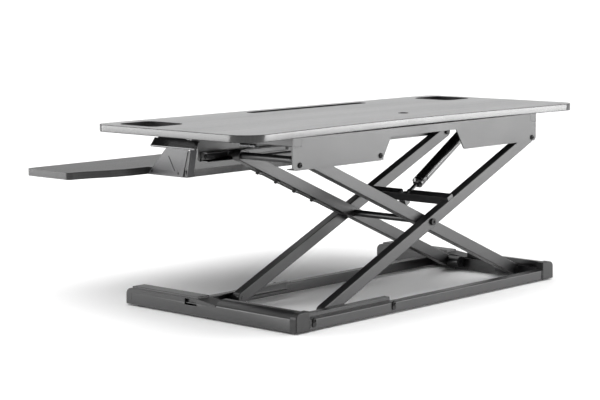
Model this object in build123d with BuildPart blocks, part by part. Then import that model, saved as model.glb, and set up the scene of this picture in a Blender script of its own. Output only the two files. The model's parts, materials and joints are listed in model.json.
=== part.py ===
from build123d import *
import math
import os

os.makedirs("parts", exist_ok=True)

# Two-tier standing desk converter on a scissor lift, millimetres, +Z up.
# The user stands on the -Y side. Rear means +Y, right means +X.
# The origin is on the floor, under the middle of the object's box.

# ---- Desktop ----
front_edge_y = -74.2        # front edge of the desktop
desk_w = 1034.0
desk_t = 14.0
desk_depth_mid = 396.0      # depth on the centre line, where the rear edge curves in
desk_depth_end = 427.0      # depth that the rear edge would have at the square corners
desk_front_r = 30.0
desk_rear_r = 50.0
edge_band_t = 1.5
hand_hole_w = 85.0
hand_hole_l = 105.0
hand_hole_r = 18.0
hand_hole_side = 27.0       # from the desktop's side edge to the hand hole
hand_hole_front = 38.0      # from the front edge to the hand hole
liner_t = 2.0
slot_l = 357.0              # tablet slot
slot_w = 24.0
slot_depth = 8.0
slot_x = -50.0
slot_front = 30.0
arm_hole_d = 16.0           # hole for a clamp bolt of a monitor arm
arm_hole_x = -62.0
arm_hole_front = 298.0

# ---- Scissor lift ----
lift_angle = 23.9           # arm angle in the pose that is modelled
lift_y = front_edge_y + 270.4   # mid-plane of the lift
base_pivot_x = -355.3
base_pivot_z = 21.0
inner_a = 346.5             # inner arm, base pivot to centre pivot
outer_b = 364.8             # outer arm, top pivot to centre pivot
arm_h = 24.0
arm_w = 20.0
arm_wall = 2.0
arm_edge_r = 1.5
inner_arm_in = 82.6         # lift mid-plane to the inner arm's inner face
arm_gap = 1.4               # between the two arms of one side
panel_gap = 1.5             # between the outer arm and the top panel
pin_clear = 0.05            # radial running fit
pivot_r = 4.0
centre_shaft_r = 7.0
roller_r = 7.0
roller_w = 11.0
roller_clear = 0.3          # between a roller and its channel's lips
channel_t = 2.0
channel_end = 115.0         # inboard end of the slide channels, from the mid line

# ---- Top frame ----
panel_t = 2.5
panel_over_pivot = 51.0     # top pivot to the panel's top edge
panel_drop = 7.5            # top pivot to the panel's lower edge, left
panel_drop_right = 9.6      # the same, right
panel_mid_drop = 16.2       # height of the shallow middle
panel_right = 376.0
panel_left = -387.0
desk_gap = 1.7              # between the panel's top edge and the desktop
crossbar_w = 19.0
crossbar_h = 18.0
crossbar_right_x = 363.0
crossbar_left_x = -376.0
bolt_head_r = 5.3
bolt_head_h = 3.0

# ---- Base ----
rail_w = 20.0
rail_top = 23.5
foot_pad_h = 3.0
rail_half = 369.0
rail_gap = 17.2             # outer arm's outer face to the rail's inner face
foot_w = 38.0
foot_front = -38.0          # from the desktop's front edge
foot_rear = 433.4
foot_low = 27.0             # outer edge and inner ledge
foot_rim = 40.0
foot_cap_l = 16.0
foot_wall = 2.5

# ---- Keyboard tray ----
tray_half_w = 460.0
tray_t = 15.0
tray_under_desk = 110.9     # desktop top to tray top
tray_front = -285.0
tray_wing_rear = -146.0
tray_root_rear = -110.0
tray_rear = 5.0
tray_mid_half = 277.0
tray_corner_r = 12.0
bracket_t = 2.5

# ---- Gas spring ----
gas_dx = 36.0               # top eye from the top pivot
gas_dz = 36.0
gas_off_y = 4.6             # gas spring from the lift mid-plane
gas_r = 12.5
gas_body_start = 20.0
gas_body_end = 240.0
rod_r = 4.0
rod_pin_s = 73.5            # rod pin from the centre pivot, along the outer arm
rod_pin_h = 11.5            # rod pin above the outer arm's centre line
rod_pin_r = 2.5
rod_eye_clear = 2.1         # free play of the rod eye on its pin

# ---- Crossbeam ----
beam_s0 = 62.0
beam_s1 = 80.0
beam_h0 = 2.5
beam_h1 = 20.5
beam_t = 2.0

# ---- Release levers ----
lever_pivot_x = 385.0
lever_front = 40.0          # from the desktop's front edge
lever_l = 126.0
lever_reach = 18.0          # hinge out to the lip
lever_fall = 24.0           # hinge down to the lip
lever_t = 3.0
lever_pin_r = 2.5
lever_below_desk = 9.5      # desktop's underside down to the hinge

# ---- Cable ----
cable_r = 1.6

# ---- Derived places ----
theta = math.radians(lift_angle)
arm_len = inner_a + outer_b
top_pivot_z = base_pivot_z + arm_len * math.sin(theta)
top_pivot_x = base_pivot_x + (inner_a - outer_b) * math.cos(theta)
centre_x = base_pivot_x + inner_a * math.cos(theta)
centre_z = base_pivot_z + inner_a * math.sin(theta)
upper_roller_x = base_pivot_x + arm_len * math.cos(theta)
lower_roller_x = top_pivot_x + arm_len * math.cos(theta)
inner_arm_out = inner_arm_in + arm_w
outer_arm_in = inner_arm_out + arm_gap
outer_arm_out = outer_arm_in + arm_w
panel_in = outer_arm_out + panel_gap
panel_out = panel_in + panel_t
panel_top = top_pivot_z + panel_over_pivot
desk_under = panel_top + desk_gap
desk_top = desk_under + desk_t
rail_in = outer_arm_out + rail_gap
rail_out = rail_in + rail_w
foot_out = rail_half + foot_w
foot_y0 = front_edge_y + foot_front
foot_y1 = front_edge_y + foot_rear
channel_half_h = roller_r + roller_clear + channel_t
tray_top = desk_top - tray_under_desk
tray_under = tray_top - tray_t
gas_y = lift_y + gas_off_y
gas_x = top_pivot_x + gas_dx
gas_z = top_pivot_z + gas_dz
rod_pin_x = centre_x - rod_pin_s * math.cos(theta) + rod_pin_h * math.sin(theta)
rod_pin_z = centre_z + rod_pin_s * math.sin(theta) + rod_pin_h * math.cos(theta)
gas_len = math.hypot(rod_pin_x - gas_x, gas_z - rod_pin_z)
gas_dir = Vector((rod_pin_x - gas_x) / gas_len, 0, (rod_pin_z - gas_z) / gas_len)
lever_pivot_z = desk_under - lever_below_desk
inner_dir = Vector(math.cos(theta), 0, math.sin(theta))
outer_dir = Vector(math.cos(theta), 0, -math.sin(theta))

channel_bolts_x = (channel_end + 12.0, rail_half - 12.0)

flange_w = 18.0
flange_screws_x = (-300.0, -60.0, 40.0, 300.0)
screw_r = 2.0
screw_head_r = 4.5
screw_bite = 9.0
tray_screws_y = (-96.0, -16.0)
tray_screw_r = 2.5

SIDES = ((1, "rear"), (-1, "front"))
ENDS = ((1, "right"), (-1, "left"))


def save(part, name):
    """Label a finished piece and write it as its own file."""
    part.label = name
    export_step(part, f"parts/{name}.step")


def y_plane(y, x=0.0, z=0.0):
    """Plane facing -Y at depth y, with sketch x to the right and sketch y up."""
    return Plane(origin=(x, y, z), x_dir=(1, 0, 0), z_dir=(0, -1, 0))


def arm_plane(d, x, z, direction):
    """Plane facing -Y at distance d from the lift mid-plane, sketch x along an arm."""
    return Plane(origin=(x, lift_y + d, z), x_dir=direction, z_dir=(0, -1, 0))


def y_rod(x, z, radius, y0, y1):
    """Round bar along Y between two depths, for use inside a part block."""
    with BuildSketch(y_plane(y1, x, z)) as section:
        Circle(radius)
    extrude(section.sketch, amount=y1 - y0)


# ======================= Desktop =======================
with BuildSketch(Plane.XY.offset(desk_under)) as desk_outline:
    with BuildLine():
        Polyline(
            (-desk_w / 2, front_edge_y + desk_depth_end),
            (-desk_w / 2, front_edge_y),
            (desk_w / 2, front_edge_y),
            (desk_w / 2, front_edge_y + desk_depth_end),
        )
        ThreePointArc(
            (desk_w / 2, front_edge_y + desk_depth_end),
            (0, front_edge_y + desk_depth_mid),
            (-desk_w / 2, front_edge_y + desk_depth_end),
        )
    make_face()
    fillet(desk_outline.vertices().group_by(Axis.Y)[0], desk_front_r)
    fillet(desk_outline.vertices().group_by(Axis.Y)[-1], desk_rear_r)

hand_hole_x = desk_w / 2 - hand_hole_side - hand_hole_w / 2
hand_hole_y = front_edge_y + hand_hole_front + hand_hole_l / 2
slot_y = front_edge_y + slot_front + slot_w / 2
arm_hole_y = front_edge_y + arm_hole_front

with BuildPart() as desktop:
    with BuildSketch(Plane.XY.offset(desk_under)):
        add(desk_outline.sketch)
        offset(amount=-edge_band_t, mode=Mode.REPLACE)
    extrude(amount=desk_t)
    with BuildSketch(Plane.XY.offset(desk_under)):
        with Locations((hand_hole_x, hand_hole_y), (-hand_hole_x, hand_hole_y)):
            RectangleRounded(hand_hole_w, hand_hole_l, hand_hole_r)
        with Locations((arm_hole_x, arm_hole_y)):
            Circle(arm_hole_d / 2)
    extrude(amount=desk_t, mode=Mode.SUBTRACT)
    with BuildSketch(Plane.XY.offset(desk_top)):
        with Locations((slot_x, slot_y)):
            RectangleRounded(slot_l, slot_w, slot_w / 4)
    extrude(amount=-slot_depth, mode=Mode.SUBTRACT)
    with BuildSketch(Plane.XY.offset(desk_under)):
        for side, name in SIDES:
            for screw_x in flange_screws_x:
                with Locations((screw_x, lift_y + side * (panel_out - flange_w + 6.0))):
                    Circle(screw_r)
    extrude(amount=screw_bite, mode=Mode.SUBTRACT)
save(desktop.part, "desktop")

with BuildPart() as edge_band:
    with BuildSketch(Plane.XY.offset(desk_under)):
        add(desk_outline.sketch)
    extrude(amount=desk_t)
    with BuildSketch(Plane.XY.offset(desk_under)):
        add(desk_outline.sketch)
        offset(amount=-edge_band_t, mode=Mode.REPLACE)
    extrude(amount=desk_t, mode=Mode.SUBTRACT)
save(edge_band.part, "desktop_edge_band")

with BuildPart() as slot_liner:
    with BuildSketch(Plane.XY.offset(desk_top)):
        with Locations((slot_x, slot_y)):
            RectangleRounded(slot_l, slot_w, slot_w / 4)
    extrude(amount=-slot_depth)
    with BuildSketch(Plane.XY.offset(desk_top)):
        with Locations((slot_x, slot_y)):
            RectangleRounded(slot_l - 2 * liner_t, slot_w - 2 * liner_t, slot_w / 4 - liner_t)
    extrude(amount=liner_t - slot_depth, mode=Mode.SUBTRACT)
save(slot_liner.part, "tablet_slot_liner")

with BuildPart() as hand_liners:
    with BuildSketch(Plane.XY.offset(desk_under)):
        with Locations((hand_hole_x, hand_hole_y), (-hand_hole_x, hand_hole_y)):
            RectangleRounded(hand_hole_w, hand_hole_l, hand_hole_r)
            RectangleRounded(
                hand_hole_w - 2 * liner_t,
                hand_hole_l - 2 * liner_t,
                hand_hole_r - liner_t,
                mode=Mode.SUBTRACT,
            )
    extrude(amount=desk_t)
save(hand_liners.part, "hand_hole_liners")

# ======================= Top frame =======================
notch_clear = 0.3
panel_corner_r = 9.0
slant_run = 26.0
panel_mid_left = -111.0
panel_mid_right = 95.0

for side, name in SIDES:
    with BuildPart() as panel:
        outer_y = lift_y + side * panel_out
        with BuildSketch(y_plane(max(outer_y, outer_y - side * panel_t))) as panel_sketch:
            with BuildLine():
                Polyline(
                    (panel_right, panel_top),
                    (panel_left, panel_top),
                    (panel_left, top_pivot_z - panel_drop),
                    (panel_mid_left - slant_run, top_pivot_z - panel_drop),
                    (panel_mid_left, panel_top - panel_mid_drop),
                    (panel_mid_right, panel_top - panel_mid_drop),
                    (panel_mid_right + slant_run, top_pivot_z - panel_drop_right),
                    (panel_right, top_pivot_z - panel_drop_right),
                    close=True,
                )
            make_face()
            low = panel_sketch.vertices().group_by(Axis.Y)[0] + panel_sketch.vertices().group_by(Axis.Y)[1]
            fillet(low, panel_corner_r)
        extrude(amount=panel_t)
        flange_y = lift_y + side * (panel_out - flange_w / 2)
        with BuildSketch(Plane.XY.offset(panel_top)):
            with Locations(((panel_left + panel_right) / 2, flange_y)):
                Rectangle(panel_right - panel_left, flange_w)
        extrude(amount=-panel_t)
        with BuildSketch(Plane.XY.offset(desk_under)):
            for bar_x in (crossbar_right_x, crossbar_left_x):
                with Locations((bar_x, flange_y)):
                    Rectangle(crossbar_w + 2 * notch_clear, flange_w)
        extrude(amount=-(crossbar_h + notch_clear), mode=Mode.SUBTRACT)
        with BuildSketch(Plane.XY.offset(panel_top)):
            for screw_x in flange_screws_x:
                with Locations((screw_x, lift_y + side * (panel_out - flange_w + 6.0))):
                    Circle(screw_r)
        extrude(amount=-panel_t, mode=Mode.SUBTRACT)
        for hole_x in (top_pivot_x, *channel_bolts_x):
            with BuildSketch(y_plane(max(outer_y, outer_y - side * panel_t), hole_x, top_pivot_z)):
                Circle(pivot_r + pin_clear)
            extrude(amount=panel_t, mode=Mode.SUBTRACT)
    save(panel.part, f"{name}_top_panel")

for bar_x, name in ((crossbar_right_x, "right"), (crossbar_left_x, "left")):
    with BuildPart() as crossbar:
        with BuildSketch(y_plane(lift_y + panel_out, bar_x, desk_under - crossbar_h / 2)):
            RectangleRounded(crossbar_w, crossbar_h, 2.0)
        extrude(amount=2 * panel_out)
        with BuildSketch(y_plane(lift_y + panel_out - 2.0, bar_x, desk_under - crossbar_h / 2)):
            RectangleRounded(crossbar_w - 4.0, crossbar_h - 4.0, 0.8)
        extrude(amount=2 * panel_out - 4.0, mode=Mode.SUBTRACT)
    save(crossbar.part, f"top_crossbar_{name}")


def c_channel(y_open, y_back, z_mid, x0, x1):
    """C-shaped slide channel along X, open towards y_open, inside a part block."""
    y_mid = (y_open + y_back) / 2
    toward = 1 if y_back > y_open else -1
    with BuildSketch(Plane.YZ.offset(x0)) as section:
        with Locations((y_mid, z_mid)):
            Rectangle(abs(y_back - y_open), 2 * channel_half_h)
        with Locations((y_mid - toward * channel_t, z_mid)):
            Rectangle(abs(y_back - y_open), 2 * (channel_half_h - channel_t), mode=Mode.SUBTRACT)
    extrude(section.sketch, amount=x1 - x0)


top_channel_open = outer_arm_in + 1.6
with BuildPart() as top_channels:
    for side, name in SIDES:
        c_channel(
            lift_y + side * top_channel_open,
            lift_y + side * panel_in,
            top_pivot_z,
            channel_end,
            rail_half,
        )
        for hole_x in channel_bolts_x:
            web_y = lift_y + side * panel_in
            with BuildSketch(y_plane(max(web_y, web_y - side * channel_t), hole_x, top_pivot_z)):
                Circle(pivot_r + pin_clear)
            extrude(amount=channel_t, mode=Mode.SUBTRACT)
save(top_channels.part, "top_slide_channels")

hanger_w = 32.0
hanger_l = 46.0
hanger_t = 3.0
hanger_ear_r = 11.0
gas_pin_r = 4.0
with BuildPart() as hanger:
    with BuildSketch(Plane.XY.offset(desk_under)):
        with Locations((gas_x, gas_y)):
            RectangleRounded(hanger_l, hanger_w, 3.0)
    extrude(amount=-hanger_t)
    for ear in (-1, 1):
        ear_face = gas_y + ear * (hanger_w / 2) if ear > 0 else gas_y - hanger_w / 2 + hanger_t
        with BuildSketch(y_plane(ear_face, gas_x, gas_z)):
            Circle(hanger_ear_r)
            with Locations((0, (desk_under - gas_z) / 2)):
                Rectangle(2 * hanger_ear_r, desk_under - gas_z)
        extrude(amount=hanger_t)
    with BuildSketch(y_plane(gas_y + hanger_w / 2, gas_x, gas_z)):
        Circle(gas_pin_r)
    extrude(amount=hanger_w, mode=Mode.SUBTRACT)
save(hanger.part, "gas_spring_hanger")

with BuildPart() as gas_pin:
    y_rod(gas_x, gas_z, gas_pin_r, gas_y - hanger_w / 2, gas_y + hanger_w / 2)
    y_rod(gas_x, gas_z, gas_pin_r + 3.0, gas_y + hanger_w / 2, gas_y + hanger_w / 2 + 3.0)
    y_rod(gas_x, gas_z, gas_pin_r + 3.0, gas_y - hanger_w / 2 - 3.0, gas_y - hanger_w / 2)
save(gas_pin.part, "gas_spring_top_pin")

socket_r = 2.0
socket_depth = 1.8
nut_h = 4.0
with BuildPart() as top_bolts:
    for side, name in SIDES:
        for bolt_x in (top_pivot_x, *channel_bolts_x):
            face = lift_y + side * panel_out
            tip = outer_arm_in - nut_h if bolt_x == top_pivot_x else panel_in - channel_t - 0.6
            shank_end = lift_y + side * tip
            y_rod(bolt_x, top_pivot_z, pivot_r, min(face, shank_end), max(face, shank_end))
            cap = face + side * bolt_head_h
            y_rod(bolt_x, top_pivot_z, bolt_head_r, min(face, cap), max(face, cap))
            with BuildSketch(y_plane(max(cap, cap - side * socket_depth), bolt_x, top_pivot_z)):
                RegularPolygon(socket_r, 6)
            extrude(amount=socket_depth, mode=Mode.SUBTRACT)
        nut_face = lift_y + side * (outer_arm_in - 0.4)
        nut_end = lift_y + side * (outer_arm_in - nut_h)
        with BuildSketch(y_plane(max(nut_face, nut_end), top_pivot_x, top_pivot_z)):
            RegularPolygon(2 * pivot_r - 1.0, 6)
        extrude(amount=nut_h - 0.4)
save(top_bolts.part, "top_panel_bolts")

with BuildPart() as desk_screws:
    for side, name in SIDES:
        screw_y = lift_y + side * (panel_out - flange_w + 6.0)
        for screw_x in flange_screws_x:
            with BuildSketch(Plane.XY.offset(panel_top)):
                with Locations((screw_x, screw_y)):
                    Circle(screw_head_r)
            extrude(amount=desk_gap)
            with BuildSketch(Plane.XY.offset(panel_top - panel_t)):
                with Locations((screw_x, screw_y)):
                    Circle(screw_r)
            extrude(amount=panel_t + desk_gap + screw_bite)
            with BuildSketch(Plane.XY.offset(panel_top - panel_t)):
                with Locations((screw_x, screw_y)):
                    Circle(screw_head_r)
            extrude(amount=-2.5)
save(desk_screws.part, "desktop_screws")

# ======================= Scissor arms =======================
ARMS = (
    ("inner_arm", inner_arm_in, (base_pivot_x, base_pivot_z), inner_dir, inner_a),
    ("outer_arm", outer_arm_in, (top_pivot_x, top_pivot_z), outer_dir, outer_b),
)
for arm_name, near_face, start, direction, to_centre in ARMS:
    for side, name in SIDES:
        face = side * near_face if side < 0 else near_face + arm_w
        with BuildPart() as arm:
            with BuildSketch(arm_plane(face, start[0], start[1], direction)):
                with Locations((arm_len / 2, 0)):
                    SlotCenterToCenter(arm_len, arm_h)
            extrude(amount=arm_w)
            outline_edges = arm.edges().group_by(Axis.Y)
            fillet(outline_edges[0] + outline_edges[-1], arm_edge_r)
            with BuildSketch(arm_plane(face - arm_wall, start[0], start[1], direction)):
                with Locations((arm_len / 2, 0)):
                    Rectangle(arm_len - 2 * arm_h, arm_h - 2 * arm_wall)
                with Locations((to_centre, 0)):
                    Rectangle(arm_h, arm_h, mode=Mode.SUBTRACT)
            extrude(amount=arm_w - 2 * arm_wall, mode=Mode.SUBTRACT)
            with BuildSketch(arm_plane(face, start[0], start[1], direction)):
                with Locations((0, 0), (to_centre, 0), (arm_len, 0)):
                    Circle(pivot_r + pin_clear)
            extrude(amount=arm_w, mode=Mode.SUBTRACT)
        save(arm.part, f"{arm_name}_{name}")

with BuildPart() as centre_shaft:
    y_rod(centre_x, centre_z, centre_shaft_r, lift_y - inner_arm_in, lift_y + inner_arm_in)
save(centre_shaft.part, "centre_shaft")

centre_head_r = 7.0
centre_head_h = 4.0
with BuildPart() as centre_bolts:
    for side, name in SIDES:
        root = lift_y + side * inner_arm_in
        head = lift_y + side * (outer_arm_out + 0.6)
        top = lift_y + side * (outer_arm_out + 0.6 + centre_head_h)
        y_rod(centre_x, centre_z, pivot_r, min(root, head), max(root, head))
        y_rod(centre_x, centre_z, centre_head_r, min(head, top), max(head, top))
        with BuildSketch(y_plane(max(top, top - side * socket_depth), centre_x, centre_z)):
            RegularPolygon(socket_r + 1.0, 6)
        extrude(amount=socket_depth, mode=Mode.SUBTRACT)
save(centre_bolts.part, "centre_pivot_bolts")

washer_r = 11.0
with BuildPart() as washers:
    for side, name in SIDES:
        near = lift_y + side * inner_arm_out
        far = lift_y + side * (outer_arm_in - 0.4)
        with BuildSketch(y_plane(max(near, far), centre_x, centre_z)):
            Circle(washer_r)
            Circle(pivot_r, mode=Mode.SUBTRACT)
        extrude(amount=abs(far - near))
save(washers.part, "pivot_washers")

with BuildPart() as roller_shaft:
    y_rod(upper_roller_x, top_pivot_z, centre_shaft_r, lift_y - inner_arm_in, lift_y + inner_arm_in)
    journal = outer_arm_in + 2.6 + roller_w + 0.4
    y_rod(upper_roller_x, top_pivot_z, pivot_r, lift_y - journal, lift_y + journal)
save(roller_shaft.part, "upper_roller_shaft")

lower_roller_in = rail_in - channel_t - 0.8 - roller_w
with BuildPart() as lower_axles:
    for side, name in SIDES:
        root = lift_y + side * (outer_arm_in - 0.9)
        tip = lift_y + side * (lower_roller_in + roller_w + 0.3)
        y_rod(lower_roller_x, base_pivot_z, pivot_r, min(root, tip), max(root, tip))
save(lower_axles.part, "lower_roller_axles")

ROLLERS = (
    ("upper", upper_roller_x, top_pivot_z, outer_arm_in + 2.6),
    ("lower", lower_roller_x, base_pivot_z, lower_roller_in),
)
for level, roller_x, roller_z, near_face in ROLLERS:
    for side, name in SIDES:
        with BuildPart() as roller:
            edge = lift_y + side * near_face
            other = lift_y + side * (near_face + roller_w)
            with BuildSketch(y_plane(max(edge, other), roller_x, roller_z)):
                Circle(roller_r)
                Circle(pivot_r + pin_clear, mode=Mode.SUBTRACT)
            extrude(amount=roller_w)
            rims = roller.edges().filter_by(GeomType.CIRCLE).sort_by(SortBy.RADIUS)[-2:]
            chamfer(rims, 0.8)
        save(roller.part, f"{level}_roller_{name}")

# ======================= Crossbeam on the outer arms =======================
rod_window = 26.0
with BuildPart() as crossbeam:
    with BuildSketch(arm_plane(outer_arm_in, centre_x, centre_z, outer_dir)):
        with Locations((-(beam_s0 + beam_s1) / 2, (beam_h0 + beam_h1) / 2)):
            Rectangle(beam_s1 - beam_s0, beam_h1 - beam_h0)
        with Locations((-(beam_s0 + beam_s1) / 2 - beam_t, (beam_h0 + beam_h1) / 2)):
            Rectangle(beam_s1 - beam_s0, beam_h1 - beam_h0 - 2 * beam_t, mode=Mode.SUBTRACT)
    extrude(amount=2 * outer_arm_in)
    with BuildSketch(arm_plane(gas_off_y + rod_window / 2, centre_x, centre_z, outer_dir)):
        with Locations((-beam_s0 - beam_t - (beam_s1 - beam_s0) / 2, (beam_h0 + beam_h1) / 2)):
            Rectangle(beam_s1 - beam_s0, beam_h1 - beam_h0 + 1.0)
    extrude(amount=rod_window, mode=Mode.SUBTRACT)
    for ear in (-1, 1):
        ear_mid = gas_off_y + ear * (rod_window / 2 + 1.0)
        with BuildSketch(arm_plane(ear_mid + 1.0, centre_x, centre_z, outer_dir)):
            with Locations((-(beam_s0 + beam_s1) / 2, (beam_h0 + beam_h1) / 2)):
                Rectangle(beam_s1 - beam_s0, beam_h1 - beam_h0)
            with Locations((-rod_pin_s, rod_pin_h)):
                Circle(rod_pin_r, mode=Mode.SUBTRACT)
        extrude(amount=2.0)
save(crossbeam.part, "crossbeam")

with BuildPart() as end_tabs:
    for side, name in SIDES:
        tab_face = side * outer_arm_in if side < 0 else outer_arm_out
        with BuildSketch(arm_plane(tab_face, centre_x, centre_z, outer_dir)):
            with Locations((-(beam_s0 + beam_s1) / 2, arm_h / 2 + (beam_h1 - arm_h / 2) / 2)):
                Rectangle(beam_s1 - beam_s0, beam_h1 - arm_h / 2)
        extrude(amount=arm_w)
save(end_tabs.part, "crossbeam_end_tabs")

with BuildPart() as rod_pin:
    half = rod_window / 2 + 2.0
    y_rod(rod_pin_x, rod_pin_z, rod_pin_r, gas_y - half, gas_y + half)
save(rod_pin.part, "gas_rod_pin")

head_len = 14.0
head_w = 16.0
head_d = -5.0               # the head's middle, from the lift mid-plane
with BuildPart() as release_head:
    with BuildSketch(arm_plane(head_d + head_w / 2, centre_x, centre_z, outer_dir)):
        with Locations((-(beam_s0 + beam_s1) / 2, beam_h0 - head_len / 2)):
            RectangleRounded(beam_s1 - beam_s0 - 4.0, head_len, 2.5)
    extrude(amount=head_w)
save(release_head.part, "release_head")

# ======================= Gas spring =======================
GAS = Plane(origin=(gas_x, gas_y, gas_z), x_dir=(0, 1, 0), z_dir=gas_dir)
eye_w = 14.0
eye_r = 9.5
with BuildPart() as top_eye:
    with BuildSketch(y_plane(gas_y + eye_w / 2, gas_x, gas_z)):
        Circle(eye_r)
        Circle(gas_pin_r + pin_clear, mode=Mode.SUBTRACT)
    extrude(amount=eye_w)
    with BuildSketch(GAS.offset(eye_r - 1.5)):
        Circle(6.0)
    extrude(amount=gas_body_start - eye_r + 1.5)
save(top_eye.part, "gas_spring_top_eye")

gland_l = 12.0
with BuildPart() as cylinder:
    with BuildSketch(GAS.offset(gas_body_start)):
        Circle(gas_r)
    extrude(amount=gas_body_end - gas_body_start - gland_l)
    fillet(cylinder.edges().sort_by(lambda e: e.center().Z)[-1], 3.0)
    with BuildSketch(GAS.offset(gas_body_start + 8.0)):
        Circle(rod_r + 0.5)
    extrude(amount=gas_body_end - gas_body_start, mode=Mode.SUBTRACT)
save(cylinder.part, "gas_spring_cylinder")

with BuildPart() as gland:
    with BuildSketch(GAS.offset(gas_body_end - gland_l)):
        Circle(gas_r)
        Circle(rod_r + pin_clear, mode=Mode.SUBTRACT)
    extrude(amount=gland_l)
    rim = gland.edges().filter_by(GeomType.CIRCLE).sort_by(SortBy.RADIUS)[-2:]
    chamfer(rim.sort_by(lambda e: e.center().Z)[0], 3.0)
save(gland.part, "gas_spring_gland")

rod_eye_bore = rod_pin_r + rod_eye_clear
rod_eye_r = rod_eye_bore + 2.0
rod_start = gas_body_end - 90.0
with BuildPart() as rod:
    with BuildSketch(GAS.offset(rod_start)):
        Circle(rod_r)
    extrude(amount=gas_len - rod_eye_r - rod_start)
save(rod.part, "gas_spring_rod")

rod_eye_w = 12.0
with BuildPart() as rod_eye:
    with BuildSketch(y_plane(gas_y + rod_eye_w / 2, rod_pin_x, rod_pin_z)):
        Circle(rod_eye_r)
    extrude(amount=rod_eye_w)
    with BuildSketch(GAS.offset(gas_len - rod_eye_r - 6.0)):
        Circle(rod_r + 1.5)
    extrude(amount=9.0)
    with BuildSketch(GAS.offset(gas_len - rod_eye_r - 6.0)):
        Circle(rod_r)
    extrude(amount=6.0, mode=Mode.SUBTRACT)
    with BuildSketch(y_plane(gas_y + rod_eye_w / 2, rod_pin_x, rod_pin_z)):
        Circle(rod_eye_bore)
    extrude(amount=rod_eye_w, mode=Mode.SUBTRACT)
save(rod_eye.part, "gas_rod_eye")

# ======================= Base =======================
for side, name in SIDES:
    with BuildPart() as rail:
        with BuildSketch(Plane.YZ.offset(-rail_half)):
            with Locations((lift_y + side * (rail_out - rail_w / 2), (foot_pad_h + rail_top) / 2)):
                RectangleRounded(rail_w, rail_top - foot_pad_h, 2.0)
                RectangleRounded(rail_w - 4.0, rail_top - foot_pad_h - 4.0, 0.8, mode=Mode.SUBTRACT)
        extrude(amount=2 * rail_half)
    save(rail.part, f"base_rail_{name}")

base_channel_open = lower_roller_in - 1.2
with BuildPart() as base_channels:
    for side, name in SIDES:
        c_channel(
            lift_y + side * base_channel_open,
            lift_y + side * rail_in,
            base_pivot_z,
            channel_end,
            rail_half,
        )
save(base_channels.part, "base_slide_channels")

cover_rear = 220.0          # from the desktop's front edge
rim_in = 9.0                # inner ledge width
rim_w = 10.0
shoulder_r = 26.0           # rounded shoulder from the outer face up to the rim
cover_h = 36.0
window_l = 33.0
window_low = 22.0
cover_flat = 170.0
for end, name in ENDS:
    with BuildPart() as foot:
        with BuildSketch(Plane.XZ.offset(-(foot_y1 - foot_cap_l))):
            with BuildLine():
                Polyline(
                    (end * foot_out, foot_pad_h),
                    (end * foot_out, foot_low),
                )
                RadiusArc(
                    (end * foot_out, foot_low),
                    (end * (rail_half + rim_in + rim_w), foot_rim),
                    -end * shoulder_r,
                )
                Polyline(
                    (end * (rail_half + rim_in + rim_w), foot_rim),
                    (end * (rail_half + rim_in), foot_rim),
                    (end * (rail_half + rim_in), foot_low + 1.0),
                    (end * rail_half, foot_low + 1.0),
                    (end * rail_half, foot_pad_h),
                    (end * foot_out, foot_pad_h),
                )
            make_face()
        extrude(amount=foot_rear - foot_cap_l - cover_rear)
        with BuildSketch(Plane.XZ.offset(-(front_edge_y + cover_rear))):
            with Locations((end * (rail_half + foot_w / 2), (foot_low + foot_pad_h) / 2)):
                Rectangle(foot_w, foot_low - foot_pad_h)
        extrude(amount=cover_rear - foot_front - foot_cap_l)
        with BuildSketch(Plane.XZ.offset(-(foot_y1 - foot_cap_l))):
            with Locations((end * (rail_half + foot_w / 2), (foot_low + foot_pad_h) / 2)):
                Rectangle(foot_w - 2 * foot_wall, foot_low - foot_pad_h - 2 * foot_wall)
        extrude(amount=foot_rear - foot_front - 2 * foot_cap_l, mode=Mode.SUBTRACT)
        with BuildSketch(Plane.YZ.offset(end * (foot_out - foot_wall))):
            with Locations((front_edge_y + cover_flat - window_l / 2 - 3.0, (foot_low + window_low) / 2)):
                Rectangle(window_l, foot_low - window_low)
        extrude(amount=end * foot_wall, mode=Mode.SUBTRACT)
    save(foot.part, f"foot_beam_{name}")

plate_h = 4.0
nose_r = 14.0               # rounded front top corner, seen from the side
with BuildPart() as covers:
    for end, name in ENDS:
        with BuildSketch(Plane.YZ.offset(end * rail_half)):
            with BuildLine():
                Polyline(
                    (foot_y0 + foot_cap_l, foot_pad_h),
                    (foot_y0, foot_pad_h),
                    (foot_y0, cover_h - nose_r),
                )
                RadiusArc((foot_y0, cover_h - nose_r), (foot_y0 + nose_r, cover_h), nose_r)
                Polyline(
                    (foot_y0 + nose_r, cover_h),
                    (front_edge_y + cover_flat, cover_h),
                    (front_edge_y + cover_rear, foot_low + 3.0),
                    (front_edge_y + cover_rear, foot_low),
                    (foot_y0 + foot_cap_l, foot_low),
                    (foot_y0 + foot_cap_l, foot_pad_h),
                )
            make_face()
        extrude(amount=end * foot_w)
        with BuildSketch(Plane.XY.offset(cover_h)):
            with Locations((end * (rail_half + foot_w / 2), front_edge_y + (cover_flat + foot_front + nose_r) / 2)):
                Rectangle(foot_w - 6.0, cover_flat - foot_front - nose_r - 4.0)
        extrude(amount=plate_h)
        with BuildSketch(Plane.YZ.offset(end * (foot_out - 6.0))):
            with Locations((front_edge_y + cover_flat - window_l / 2 - 3.0, (foot_low + cover_h - 1.5) / 2)):
                Rectangle(window_l, cover_h - 1.5 - foot_low)
        extrude(amount=end * 6.0, mode=Mode.SUBTRACT)
    top_edges = covers.edges().group_by(Axis.Z)[-1]
    fillet(top_edges, 1.5)
save(covers.part, "foot_covers")

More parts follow.
